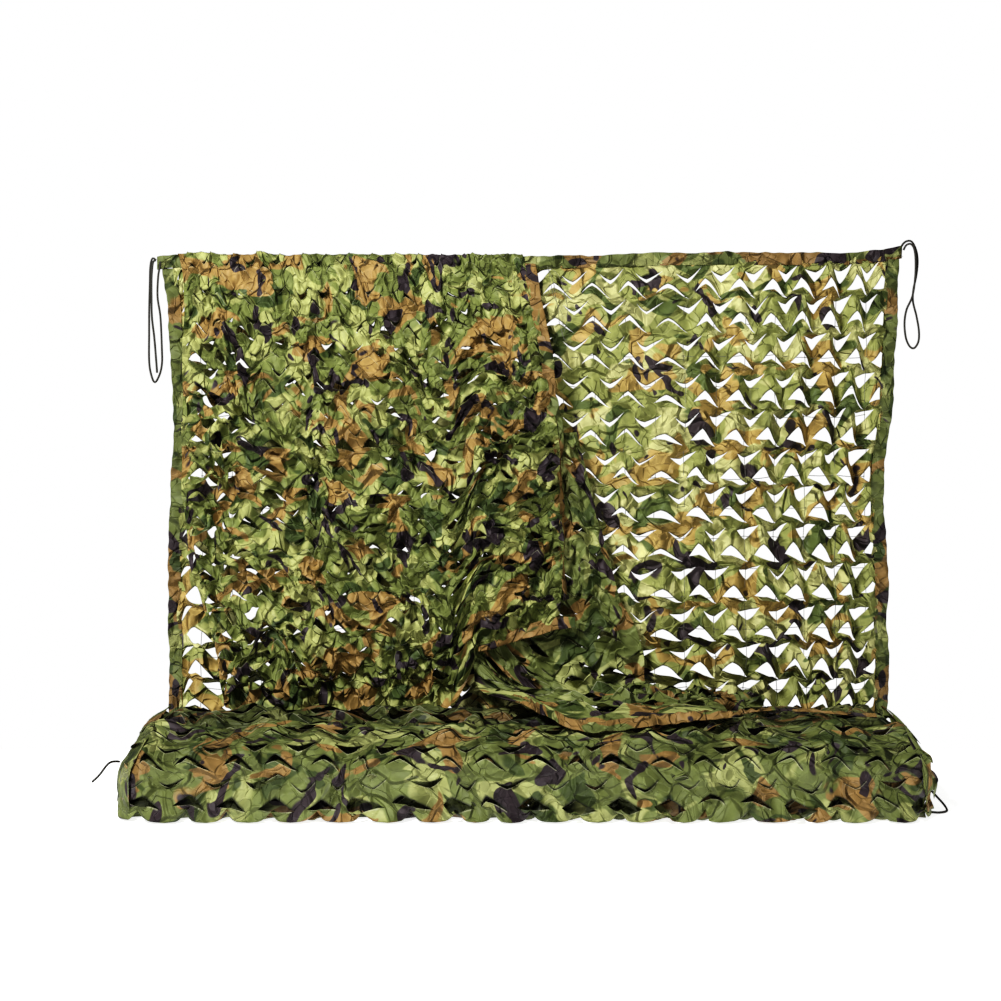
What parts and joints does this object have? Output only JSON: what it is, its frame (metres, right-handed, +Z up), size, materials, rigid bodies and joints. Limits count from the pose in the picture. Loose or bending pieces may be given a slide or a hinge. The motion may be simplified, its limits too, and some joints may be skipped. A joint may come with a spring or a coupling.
{
  "type": "camouflage netting",
  "caption": "Die-cut camouflage net hung by its top edge, one layer folded over in front, the rest in a flattened roll on the floor.",
  "frame": {"origin": "middle of the hung top edge", "axes": "+X to the right along the top edge as the net is seen from the front, +Y to the back, through the hung panel, +Z up"},
  "size_m": [1.6421, 0.4048, 1.089],
  "materials": {
    "camouflage_cloth": "thin woven polyester printed in yellow-green, dark green, brown and black patches, die-cut into curling leaves",
    "binding_tape": "folded strip of the same printed cloth, stitched along the net's edges",
    "cord": "thin braided cord, near black"
  },
  "bodies": {
    "root": {"net_hung": "camouflage_cloth", "net_front": "camouflage_cloth", "net_fall": "camouflage_cloth", "net_roll": "camouflage_cloth", "binding_top": "binding_tape", "binding_left": "binding_tape", "binding_right": "binding_tape", "binding_front_side": "binding_tape", "binding_front_hem": "binding_tape", "binding_foot": "binding_tape", "loop_left": "cord", "tail_left": "cord", "loop_right": "cord", "loop_roll": "cord", "tie_roll": "cord"}
  },
  "joints": []
}
